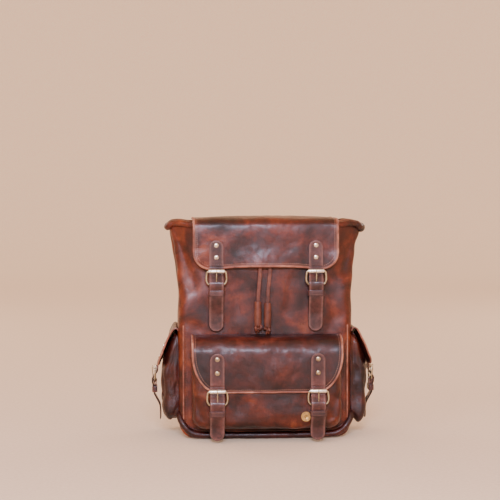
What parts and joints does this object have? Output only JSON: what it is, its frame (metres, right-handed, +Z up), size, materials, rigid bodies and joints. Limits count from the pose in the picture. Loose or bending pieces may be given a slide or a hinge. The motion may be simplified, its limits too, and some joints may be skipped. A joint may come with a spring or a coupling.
{
  "type": "backpack",
  "caption": "Upright leather backpack with a drawstring mouth under a lid, a front pocket, side pockets, and flaps held by buckled straps.",
  "frame": {"origin": "centre of the bag's base where it stands on the floor", "axes": "+X to the right of someone who looks at the front, -Y out of the front, +Z up"},
  "size_m": [0.4094, 0.2599, 0.3954],
  "materials": {
    "bag_leather": "waxed, mottled red-brown pull-up leather",
    "strap_leather": "smooth dark brown strap leather",
    "brass_hardware": "antique brass, brushed and worn",
    "canvas_lining": "woven cotton canvas"
  },
  "bodies": {
    "bag": {"front_panel": "bag_leather", "back_panel": "bag_leather", "base_panel": "bag_leather", "side_panel_left": "bag_leather", "side_panel_right": "bag_leather", "lining": "canvas_lining", "mouth_hem": "bag_leather", "drawstring_loop": "strap_leather", "drawstring_end_left": "strap_leather", "drawstring_end_right": "strap_leather", "drawstring_sleeve_left": "strap_leather", "drawstring_sleeve_right": "strap_leather", "front_pocket": "bag_leather", "side_pocket_left": "bag_leather", "side_pocket_right": "bag_leather"},
    "lid": {"lid": "bag_leather", "lid_strap_left_tab": "strap_leather", "lid_strap_right_tab": "strap_leather"},
    "front_flap": {"front_flap": "bag_leather", "front_strap_left_tab": "strap_leather", "front_strap_right_tab": "strap_leather"},
    "side_flap_left": {"side_flap_left": "bag_leather", "side_strap_left_tab": "strap_leather"},
    "side_flap_right": {"side_flap_right": "bag_leather", "side_strap_right_tab": "strap_leather"},
    "shoulder_strap_left": {"shoulder_strap_left": "strap_leather", "lower_strap_left": "strap_leather"},
    "shoulder_strap_right": {"shoulder_strap_right": "strap_leather", "lower_strap_right": "strap_leather"},
    "grab_handle": {"grab_handle": "strap_leather"},
    "lid_strap_left": {"lid_strap_left_tail": "strap_leather", "lid_strap_left_frame": "brass_hardware", "lid_strap_left_chape": "strap_leather"},
    "lid_strap_left_prong": {"lid_strap_left_prong": "brass_hardware"},
    "lid_strap_left_roller": {"lid_strap_left_roller": "brass_hardware"},
    "front_strap_left": {"front_strap_left_tail": "strap_leather", "front_strap_left_frame": "brass_hardware", "front_strap_left_chape": "strap_leather"},
    "front_strap_left_prong": {"front_strap_left_prong": "brass_hardware"},
    "front_strap_left_roller": {"front_strap_left_roller": "brass_hardware"},
    "side_strap_left": {"side_strap_left_tail": "strap_leather", "side_strap_left_frame": "brass_hardware", "side_strap_left_chape": "strap_leather"},
    "side_strap_left_prong": {"side_strap_left_prong": "brass_hardware"},
    "side_strap_left_roller": {"side_strap_left_roller": "brass_hardware"},
    "lid_strap_right": {"lid_strap_right_tail": "strap_leather", "lid_strap_right_frame": "brass_hardware", "lid_strap_right_chape": "strap_leather"},
    "lid_strap_right_prong": {"lid_strap_right_prong": "brass_hardware"},
    "lid_strap_right_roller": {"lid_strap_right_roller": "brass_hardware"},
    "front_strap_right": {"front_strap_right_tail": "strap_leather", "front_strap_right_frame": "brass_hardware", "front_strap_right_chape": "strap_leather"},
    "front_strap_right_prong": {"front_strap_right_prong": "brass_hardware"},
    "front_strap_right_roller": {"front_strap_right_roller": "brass_hardware"},
    "side_strap_right": {"side_strap_right_tail": "strap_leather", "side_strap_right_frame": "brass_hardware", "side_strap_right_chape": "strap_leather"},
    "side_strap_right_prong": {"side_strap_right_prong": "brass_hardware"},
    "side_strap_right_roller": {"side_strap_right_roller": "brass_hardware"}
  },
  "joints": [
    {"name": "lid_hinge", "type": "hinge", "parent": "bag", "child": "lid", "pos_m": [0, 0.071, 0.3941], "axis": [-1, 0, 0], "range_deg": [0, 190]},
    {"name": "front_flap_hinge", "type": "hinge", "parent": "bag", "child": "front_flap", "pos_m": [0, -0.0793, 0.187], "axis": [-1, 0, 0], "range_deg": [0, 90]},
    {"name": "side_flap_hinge_left", "type": "hinge", "parent": "bag", "child": "side_flap_left", "pos_m": [-0.1582, 0, 0.197], "axis": [0, 1, 0], "range_deg": [0, 90]},
    {"name": "side_flap_hinge_right", "type": "hinge", "parent": "bag", "child": "side_flap_right", "pos_m": [0.1582, 0, 0.197], "axis": [0, -1, 0], "range_deg": [0, 90]},
    {"name": "lid_strap_left_swing", "type": "hinge", "parent": "lid", "child": "lid_strap_left", "pos_m": [-0.089, -0.0819, 0.31105], "axis": [-1, 0, 0], "range_deg": [0, 105]},
    {"name": "lid_strap_left_prong_hinge", "type": "hinge", "parent": "lid_strap_left", "child": "lid_strap_left_prong", "pos_m": [-0.089, -0.0854, 0.27905], "axis": [1, 0, 0], "range_deg": [0, 35]},
    {"name": "lid_strap_left_roller_spin", "type": "hinge", "parent": "lid_strap_left", "child": "lid_strap_left_roller", "pos_m": [-0.089, -0.0854, 0.30305], "axis": [-1, 0, 0], "continuous": true},
    {"name": "front_strap_left_swing", "type": "hinge", "parent": "front_flap", "child": "front_strap_left", "pos_m": [-0.089, -0.1235, 0.102], "axis": [-1, 0, 0], "range_deg": [0, 105]},
    {"name": "front_strap_left_prong_hinge", "type": "hinge", "parent": "front_strap_left", "child": "front_strap_left_prong", "pos_m": [-0.089, -0.127, 0.07], "axis": [1, 0, 0], "range_deg": [0, 35]},
    {"name": "front_strap_left_roller_spin", "type": "hinge", "parent": "front_strap_left", "child": "front_strap_left_roller", "pos_m": [-0.089, -0.127, 0.094], "axis": [-1, 0, 0], "continuous": true},
    {"name": "side_strap_left_swing", "type": "hinge", "parent": "side_flap_left", "child": "side_strap_left", "pos_m": [-0.195, 0, 0.13], "axis": [0, 1, 0], "range_deg": [0, 105]},
    {"name": "side_strap_left_prong_hinge", "type": "hinge", "parent": "side_strap_left", "child": "side_strap_left_prong", "pos_m": [-0.1985, 0, 0.098], "axis": [0, -1, 0], "range_deg": [0, 35]},
    {"name": "side_strap_left_roller_spin", "type": "hinge", "parent": "side_strap_left", "child": "side_strap_left_roller", "pos_m": [-0.1985, 0, 0.122], "axis": [0, 1, 0], "continuous": true},
    {"name": "lid_strap_right_swing", "type": "hinge", "parent": "lid", "child": "lid_strap_right", "pos_m": [0.089, -0.0819, 0.31105], "axis": [-1, 0, 0], "range_deg": [0, 105]},
    {"name": "lid_strap_right_prong_hinge", "type": "hinge", "parent": "lid_strap_right", "child": "lid_strap_right_prong", "pos_m": [0.089, -0.0854, 0.27905], "axis": [1, 0, 0], "range_deg": [0, 35]},
    {"name": "lid_strap_right_roller_spin", "type": "hinge", "parent": "lid_strap_right", "child": "lid_strap_right_roller", "pos_m": [0.089, -0.0854, 0.30305], "axis": [-1, 0, 0], "continuous": true},
    {"name": "front_strap_right_swing", "type": "hinge", "parent": "front_flap", "child": "front_strap_right", "pos_m": [0.089, -0.1235, 0.102], "axis": [-1, 0, 0], "range_deg": [0, 105]},
    {"name": "front_strap_right_prong_hinge", "type": "hinge", "parent": "front_strap_right", "child": "front_strap_right_prong", "pos_m": [0.089, -0.127, 0.07], "axis": [1, 0, 0], "range_deg": [0, 35]},
    {"name": "front_strap_right_roller_spin", "type": "hinge", "parent": "front_strap_right", "child": "front_strap_right_roller", "pos_m": [0.089, -0.127, 0.094], "axis": [-1, 0, 0], "continuous": true},
    {"name": "side_strap_right_swing", "type": "hinge", "parent": "side_flap_right", "child": "side_strap_right", "pos_m": [0.195, 0, 0.13], "axis": [0, -1, 0], "range_deg": [0, 105]},
    {"name": "side_strap_right_prong_hinge", "type": "hinge", "parent": "side_strap_right", "child": "side_strap_right_prong", "pos_m": [0.1985, 0, 0.098], "axis": [0, 1, 0], "range_deg": [0, 35]},
    {"name": "side_strap_right_roller_spin", "type": "hinge", "parent": "side_strap_right", "child": "side_strap_right_roller", "pos_m": [0.1985, 0, 0.122], "axis": [0, -1, 0], "continuous": true},
    {"name": "shoulder_strap_swing_left", "type": "hinge", "parent": "bag", "child": "shoulder_strap_left", "pos_m": [-0.058, 0.08, 0.352], "axis": [-0.2044, 0, -0.9789], "range_deg": [-40, 40]},
    {"name": "shoulder_strap_swing_right", "type": "hinge", "parent": "bag", "child": "shoulder_strap_right", "pos_m": [0.058, 0.08, 0.352], "axis": [0.2044, 0, -0.9789], "range_deg": [-40, 40]},
    {"name": "grab_handle_fold", "type": "hinge", "parent": "bag", "child": "grab_handle", "pos_m": [0, 0.077, 0.3715], "axis": [1, 0, 0], "range_deg": [0, 90]}
  ]
}
